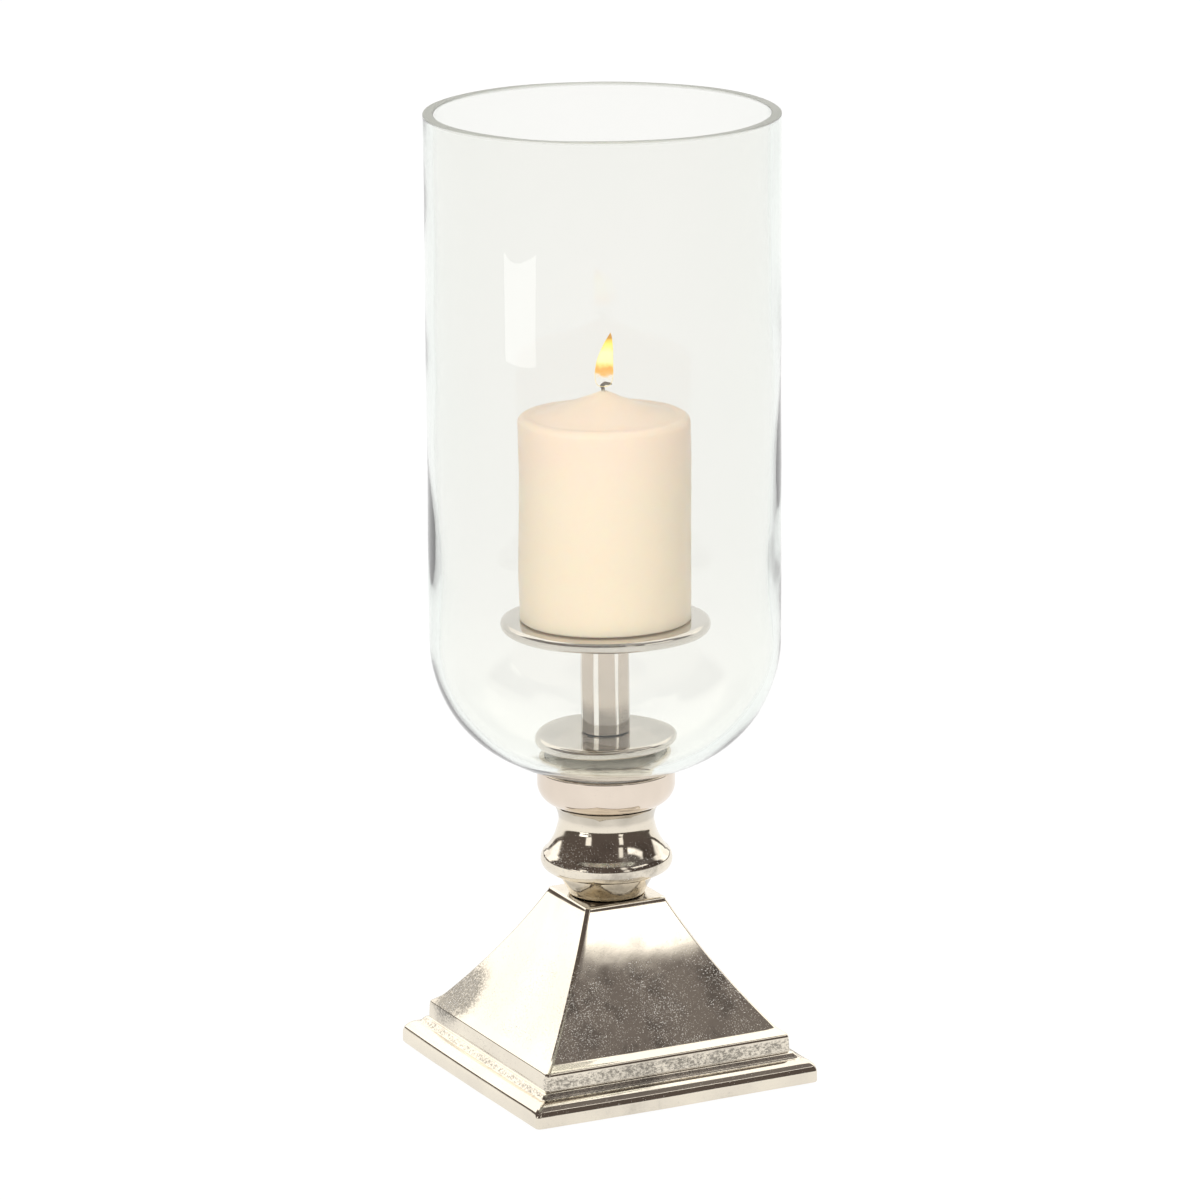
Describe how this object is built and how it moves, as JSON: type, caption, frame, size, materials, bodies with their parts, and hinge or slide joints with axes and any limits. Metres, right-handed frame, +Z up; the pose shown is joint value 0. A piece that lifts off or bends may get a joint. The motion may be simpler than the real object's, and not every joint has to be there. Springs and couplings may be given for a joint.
{
  "type": "hurricane candle lantern",
  "caption": "Free-standing candle lantern: polished metal pyramid base and turned stem, cup, tall open-topped glass, and a pillar candle on a plate inside the glass.",
  "frame": {"origin": "centre of the square footprint, on the surface the lantern stands on", "axes": "+Z up through the stem, glass and candle; the base's sides lie along X and Y"},
  "size_m": [0.1554, 0.1554, 0.433],
  "materials": {
    "nickel": "polished warm nickel plate on sand-cast aluminium, mirror bright with small casting pits",
    "steel": "zinc-plated, satin",
    "glass": "clear, thick, faint grey-green tint",
    "rubber": "soft pale grey silicone sheet",
    "felt": "dark pressed felt",
    "wax": "ivory candle wax, translucent, soft sheen",
    "wick": "braided cotton, charred grey-brown at the tip",
    "flame": "glowing candle flame, orange tip and pale yellow body"
  },
  "bodies": {
    "base": {"pyramid_base": "nickel", "foot_pad_1": "felt", "foot_pad_2": "felt", "foot_pad_3": "felt", "foot_pad_4": "felt", "base_nut": "steel", "lock_washer": "steel", "base_washer": "steel", "tie_rod": "steel", "baluster": "nickel", "glass_cup": "nickel", "lower_gasket": "rubber"},
    "glass": {"glass": "glass"},
    "gasket": {"upper_gasket": "rubber"},
    "support": {"clamp_flange": "nickel", "post": "nickel", "candle_plate": "nickel", "plate_screw": "steel"},
    "candle": {"candle_wax": "wax", "wick": "wick", "wick_clip": "steel"}
  },
  "joints": [
    {"name": "glass_lift", "type": "slide", "parent": "base", "child": "glass", "axis": [0, 0, 1], "range_m": [0, 0.08]},
    {"name": "support_lift", "type": "slide", "parent": "glass", "child": "gasket", "axis": [0, 0, 1], "range_m": [0, 0.01125]},
    {"name": "support_turn", "type": "hinge", "parent": "gasket", "child": "support", "pos_m": [0, 0, 0.15], "axis": [0, 0, 1], "range_deg": [0, 3240]},
    {"name": "candle_lift", "type": "slide", "parent": "support", "child": "candle", "axis": [0, 0, 1], "range_m": [0, 0.24]}
  ],
  "couplings": [
    {"joint": "support_lift", "follows": "support_turn", "m_per_rad": 0.00019894}
  ]
}
